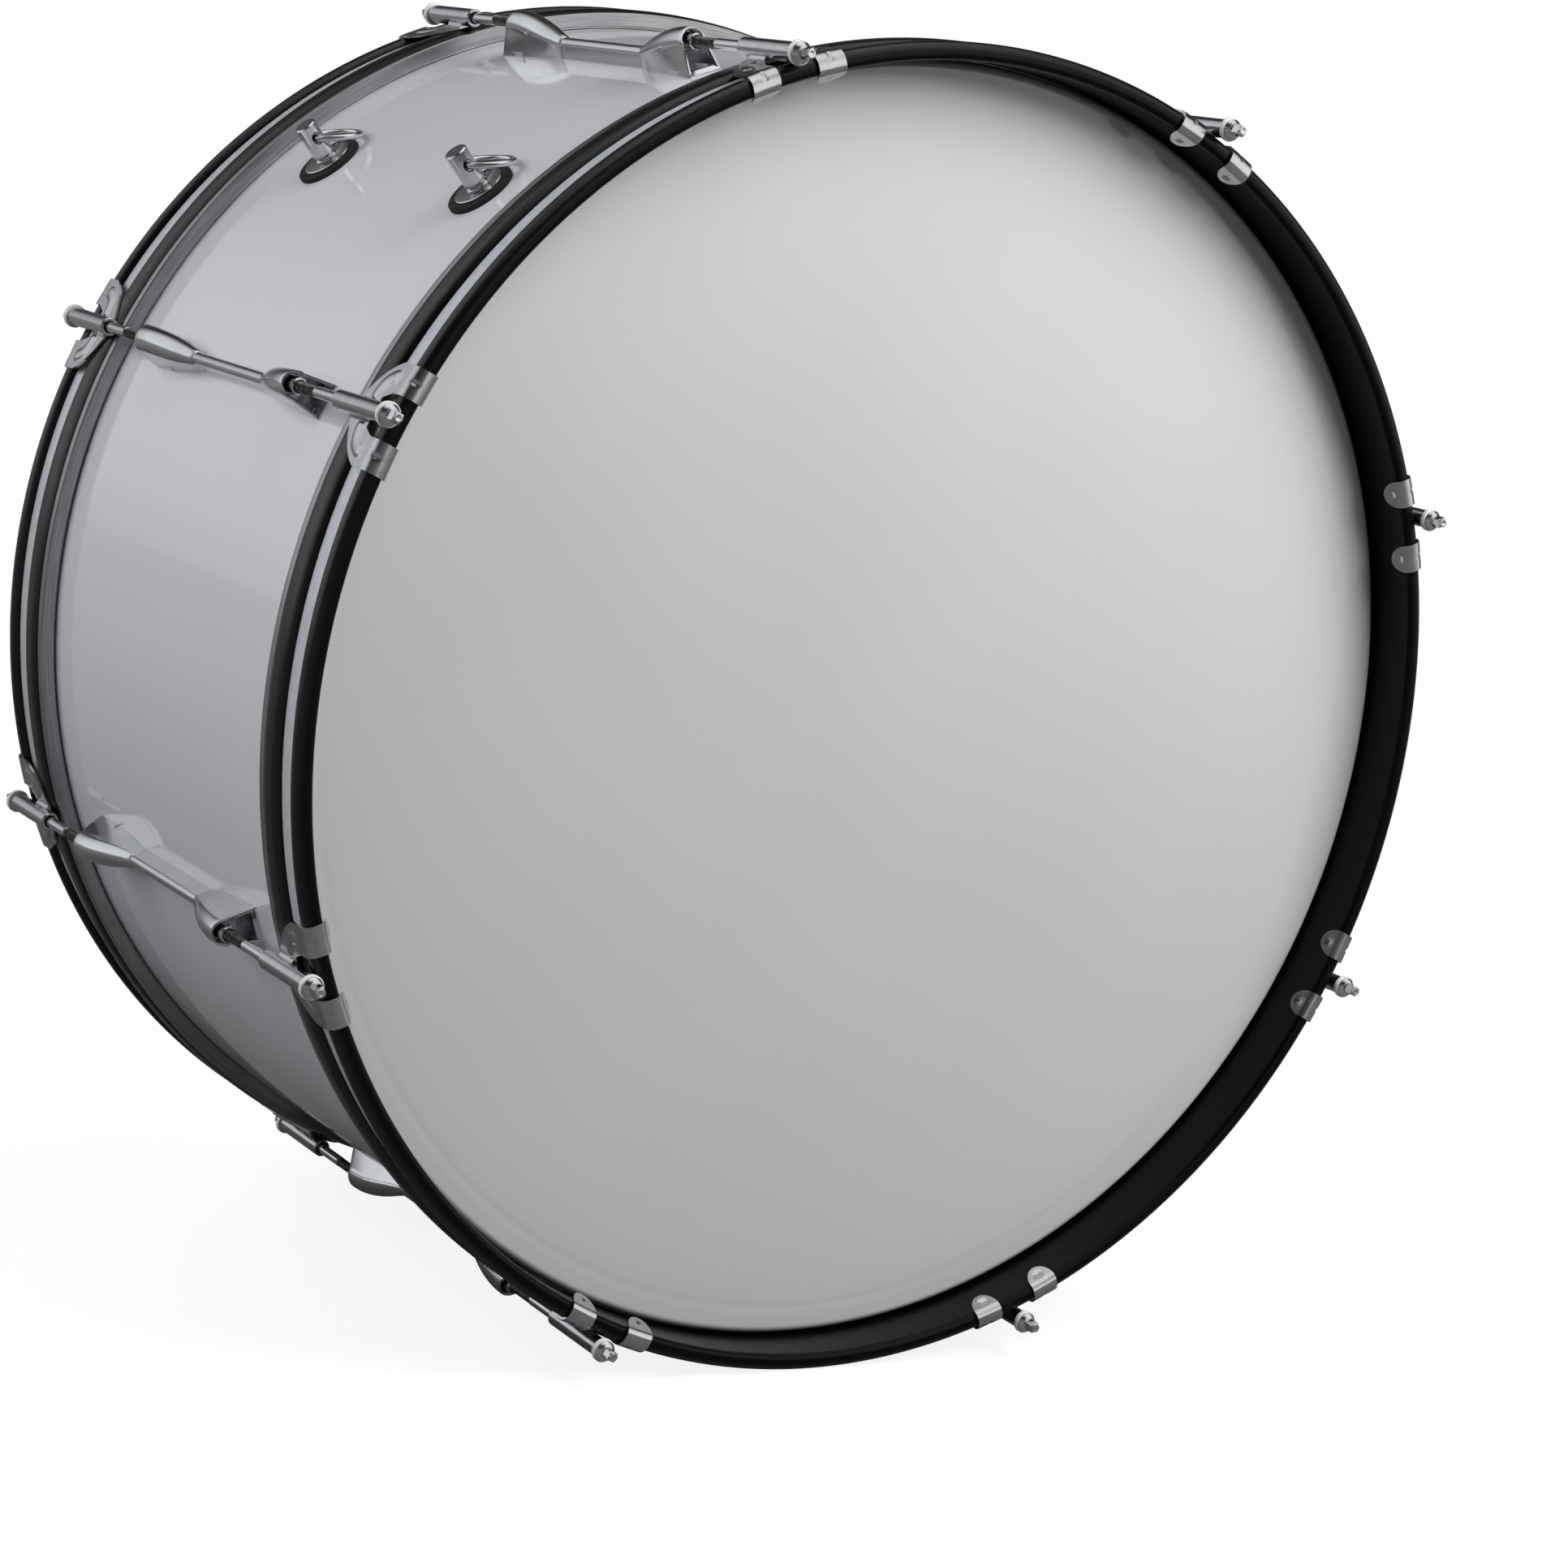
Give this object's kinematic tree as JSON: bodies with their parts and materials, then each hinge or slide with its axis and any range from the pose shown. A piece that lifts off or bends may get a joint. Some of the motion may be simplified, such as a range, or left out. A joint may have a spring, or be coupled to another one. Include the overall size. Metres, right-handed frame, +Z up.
{
  "type": "marching bass drum",
  "caption": "Two-headed cylindrical bass drum with clawed tension rods, bridge lugs and a pair of swinging sling rings on its shell.",
  "frame": {"origin": "on the floor under the middle of the drum, as it stands on its two hoops", "axes": "+Z up, +Y along the drum's axis away from the batter head, +X to the right when facing the batter head"},
  "size_m": [0.6812, 0.3928, 0.6812],
  "materials": {
    "shell_wood": "satin lacquer",
    "white_wrap": "high gloss wrap",
    "head_film": "smooth coated film",
    "brushed_aluminium": "brushed",
    "black_hoop": "gloss enamel",
    "hoop_stripe": "pale inlay strip",
    "chrome": "polished",
    "satin_chrome": "bright plated sheet",
    "black_rubber": "matt"
  },
  "bodies": {
    "drum": {"shell": "shell_wood", "shell_wrap": "white_wrap", "head_front": "head_film", "flesh_hoop_front": "brushed_aluminium", "hoop_front": "black_hoop", "hoop_inlay_front": "hoop_stripe", "head_rear": "head_film", "flesh_hoop_rear": "brushed_aluminium", "hoop_rear": "black_hoop", "hoop_inlay_rear": "hoop_stripe", "lug_1": "chrome", "lug_2": "chrome", "lug_3": "chrome", "lug_4": "chrome", "lug_5": "chrome", "lug_6": "chrome", "lug_7": "chrome", "lug_8": "chrome", "post_gasket_front": "black_rubber", "post_plate_front": "chrome", "ring_post_front": "chrome", "post_gasket_rear": "black_rubber", "post_plate_rear": "chrome", "ring_post_rear": "chrome"},
    "claw_front_1": {"claw_front_1": "satin_chrome"},
    "rod_front_1": {"rod_front_1": "chrome"},
    "claw_front_2": {"claw_front_2": "satin_chrome"},
    "rod_front_2": {"rod_front_2": "chrome"},
    "claw_front_3": {"claw_front_3": "satin_chrome"},
    "rod_front_3": {"rod_front_3": "chrome"},
    "claw_front_4": {"claw_front_4": "satin_chrome"},
    "rod_front_4": {"rod_front_4": "chrome"},
    "claw_front_5": {"claw_front_5": "satin_chrome"},
    "rod_front_5": {"rod_front_5": "chrome"},
    "claw_front_6": {"claw_front_6": "satin_chrome"},
    "rod_front_6": {"rod_front_6": "chrome"},
    "claw_front_7": {"claw_front_7": "satin_chrome"},
    "rod_front_7": {"rod_front_7": "chrome"},
    "claw_front_8": {"claw_front_8": "satin_chrome"},
    "rod_front_8": {"rod_front_8": "chrome"},
    "claw_rear_1": {"claw_rear_1": "satin_chrome"},
    "rod_rear_1": {"rod_rear_1": "chrome"},
    "claw_rear_2": {"claw_rear_2": "satin_chrome"},
    "rod_rear_2": {"rod_rear_2": "chrome"},
    "claw_rear_3": {"claw_rear_3": "satin_chrome"},
    "rod_rear_3": {"rod_rear_3": "chrome"},
    "claw_rear_4": {"claw_rear_4": "satin_chrome"},
    "rod_rear_4": {"rod_rear_4": "chrome"},
    "claw_rear_5": {"claw_rear_5": "satin_chrome"},
    "rod_rear_5": {"rod_rear_5": "chrome"},
    "claw_rear_6": {"claw_rear_6": "satin_chrome"},
    "rod_rear_6": {"rod_rear_6": "chrome"},
    "claw_rear_7": {"claw_rear_7": "satin_chrome"},
    "rod_rear_7": {"rod_rear_7": "chrome"},
    "claw_rear_8": {"claw_rear_8": "satin_chrome"},
    "rod_rear_8": {"rod_rear_8": "chrome"},
    "ring_front": {"ring_front": "chrome"},
    "ring_rear": {"ring_rear": "chrome"}
  },
  "joints": [
    {"name": "claw_front_1_slide", "type": "slide", "parent": "drum", "child": "claw_front_1", "axis": [0, -1, 0], "range_m": [0, 0.0127]},
    {"name": "rod_front_1_turn", "type": "hinge", "parent": "claw_front_1", "child": "rod_front_1", "pos_m": [-0.13241, -0.19, 0.66026], "axis": [0, -1, 0], "range_deg": [0, 4320]},
    {"name": "claw_front_2_slide", "type": "slide", "parent": "drum", "child": "claw_front_2", "axis": [0, -1, 0], "range_m": [0, 0.0127]},
    {"name": "rod_front_2_turn", "type": "hinge", "parent": "claw_front_2", "child": "rod_front_2", "pos_m": [0.13241, -0.19, 0.66026], "axis": [0, -1, 0], "range_deg": [0, 4320]},
    {"name": "claw_front_3_slide", "type": "slide", "parent": "drum", "child": "claw_front_3", "axis": [0, -1, 0], "range_m": [0, 0.0127]},
    {"name": "rod_front_3_turn", "type": "hinge", "parent": "claw_front_3", "child": "rod_front_3", "pos_m": [0.31966, -0.19, 0.47301], "axis": [0, -1, 0], "range_deg": [0, 4320]},
    {"name": "claw_front_4_slide", "type": "slide", "parent": "drum", "child": "claw_front_4", "axis": [0, -1, 0], "range_m": [0, 0.0127]},
    {"name": "rod_front_4_turn", "type": "hinge", "parent": "claw_front_4", "child": "rod_front_4", "pos_m": [0.31966, -0.19, 0.20819], "axis": [0, -1, 0], "range_deg": [0, 4320]},
    {"name": "claw_front_5_slide", "type": "slide", "parent": "drum", "child": "claw_front_5", "axis": [0, -1, 0], "range_m": [0, 0.0127]},
    {"name": "rod_front_5_turn", "type": "hinge", "parent": "claw_front_5", "child": "rod_front_5", "pos_m": [0.13241, -0.19, 0.02094], "axis": [0, -1, 0], "range_deg": [0, 4320]},
    {"name": "claw_front_6_slide", "type": "slide", "parent": "drum", "child": "claw_front_6", "axis": [0, -1, 0], "range_m": [0, 0.0127]},
    {"name": "rod_front_6_turn", "type": "hinge", "parent": "claw_front_6", "child": "rod_front_6", "pos_m": [-0.13241, -0.19, 0.02094], "axis": [0, -1, 0], "range_deg": [0, 4320]},
    {"name": "claw_front_7_slide", "type": "slide", "parent": "drum", "child": "claw_front_7", "axis": [0, -1, 0], "range_m": [0, 0.0127]},
    {"name": "rod_front_7_turn", "type": "hinge", "parent": "claw_front_7", "child": "rod_front_7", "pos_m": [-0.31966, -0.19, 0.20819], "axis": [0, -1, 0], "range_deg": [0, 4320]},
    {"name": "claw_front_8_slide", "type": "slide", "parent": "drum", "child": "claw_front_8", "axis": [0, -1, 0], "range_m": [0, 0.0127]},
    {"name": "rod_front_8_turn", "type": "hinge", "parent": "claw_front_8", "child": "rod_front_8", "pos_m": [-0.31966, -0.19, 0.47301], "axis": [0, -1, 0], "range_deg": [0, 4320]},
    {"name": "claw_rear_1_slide", "type": "slide", "parent": "drum", "child": "claw_rear_1", "axis": [0, 1, 0], "range_m": [0, 0.0127]},
    {"name": "rod_rear_1_turn", "type": "hinge", "parent": "claw_rear_1", "child": "rod_rear_1", "pos_m": [-0.13241, 0.19, 0.66026], "axis": [0, 1, 0], "range_deg": [0, 4320]},
    {"name": "claw_rear_2_slide", "type": "slide", "parent": "drum", "child": "claw_rear_2", "axis": [0, 1, 0], "range_m": [0, 0.0127]},
    {"name": "rod_rear_2_turn", "type": "hinge", "parent": "claw_rear_2", "child": "rod_rear_2", "pos_m": [0.13241, 0.19, 0.66026], "axis": [0, 1, 0], "range_deg": [0, 4320]},
    {"name": "claw_rear_3_slide", "type": "slide", "parent": "drum", "child": "claw_rear_3", "axis": [0, 1, 0], "range_m": [0, 0.0127]},
    {"name": "rod_rear_3_turn", "type": "hinge", "parent": "claw_rear_3", "child": "rod_rear_3", "pos_m": [0.31966, 0.19, 0.47301], "axis": [0, 1, 0], "range_deg": [0, 4320]},
    {"name": "claw_rear_4_slide", "type": "slide", "parent": "drum", "child": "claw_rear_4", "axis": [0, 1, 0], "range_m": [0, 0.0127]},
    {"name": "rod_rear_4_turn", "type": "hinge", "parent": "claw_rear_4", "child": "rod_rear_4", "pos_m": [0.31966, 0.19, 0.20819], "axis": [0, 1, 0], "range_deg": [0, 4320]},
    {"name": "claw_rear_5_slide", "type": "slide", "parent": "drum", "child": "claw_rear_5", "axis": [0, 1, 0], "range_m": [0, 0.0127]},
    {"name": "rod_rear_5_turn", "type": "hinge", "parent": "claw_rear_5", "child": "rod_rear_5", "pos_m": [0.13241, 0.19, 0.02094], "axis": [0, 1, 0], "range_deg": [0, 4320]},
    {"name": "claw_rear_6_slide", "type": "slide", "parent": "drum", "child": "claw_rear_6", "axis": [0, 1, 0], "range_m": [0, 0.0127]},
    {"name": "rod_rear_6_turn", "type": "hinge", "parent": "claw_rear_6", "child": "rod_rear_6", "pos_m": [-0.13241, 0.19, 0.02094], "axis": [0, 1, 0], "range_deg": [0, 4320]},
    {"name": "claw_rear_7_slide", "type": "slide", "parent": "drum", "child": "claw_rear_7", "axis": [0, 1, 0], "range_m": [0, 0.0127]},
    {"name": "rod_rear_7_turn", "type": "hinge", "parent": "claw_rear_7", "child": "rod_rear_7", "pos_m": [-0.31966, 0.19, 0.20819], "axis": [0, 1, 0], "range_deg": [0, 4320]},
    {"name": "claw_rear_8_slide", "type": "slide", "parent": "drum", "child": "claw_rear_8", "axis": [0, 1, 0], "range_m": [0, 0.0127]},
    {"name": "rod_rear_8_turn", "type": "hinge", "parent": "claw_rear_8", "child": "rod_rear_8", "pos_m": [-0.31966, 0.19, 0.47301], "axis": [0, 1, 0], "range_deg": [0, 4320]},
    {"name": "ring_front_swing", "type": "hinge", "parent": "drum", "child": "ring_front", "pos_m": [-0.24466, -0.0833, 0.58526], "axis": [0, -1, 0], "range_deg": [0, 243.9]},
    {"name": "ring_rear_swing", "type": "hinge", "parent": "drum", "child": "ring_rear", "pos_m": [-0.24466, 0.0833, 0.58526], "axis": [0, -1, 0], "range_deg": [0, 243.9]}
  ],
  "couplings": [
    {"joint": "rod_front_1_turn", "follows": "claw_front_1_slide", "rad_per_m": 5936.8},
    {"joint": "rod_front_2_turn", "follows": "claw_front_2_slide", "rad_per_m": 5936.8},
    {"joint": "rod_front_3_turn", "follows": "claw_front_3_slide", "rad_per_m": 5936.8},
    {"joint": "rod_front_4_turn", "follows": "claw_front_4_slide", "rad_per_m": 5936.8},
    {"joint": "rod_front_5_turn", "follows": "claw_front_5_slide", "rad_per_m": 5936.8},
    {"joint": "rod_front_6_turn", "follows": "claw_front_6_slide", "rad_per_m": 5936.8},
    {"joint": "rod_front_7_turn", "follows": "claw_front_7_slide", "rad_per_m": 5936.8},
    {"joint": "rod_front_8_turn", "follows": "claw_front_8_slide", "rad_per_m": 5936.8},
    {"joint": "rod_rear_1_turn", "follows": "claw_rear_1_slide", "rad_per_m": 5936.8},
    {"joint": "rod_rear_2_turn", "follows": "claw_rear_2_slide", "rad_per_m": 5936.8},
    {"joint": "rod_rear_3_turn", "follows": "claw_rear_3_slide", "rad_per_m": 5936.8},
    {"joint": "rod_rear_4_turn", "follows": "claw_rear_4_slide", "rad_per_m": 5936.8},
    {"joint": "rod_rear_5_turn", "follows": "claw_rear_5_slide", "rad_per_m": 5936.8},
    {"joint": "rod_rear_6_turn", "follows": "claw_rear_6_slide", "rad_per_m": 5936.8},
    {"joint": "rod_rear_7_turn", "follows": "claw_rear_7_slide", "rad_per_m": 5936.8},
    {"joint": "rod_rear_8_turn", "follows": "claw_rear_8_slide", "rad_per_m": 5936.8}
  ]
}
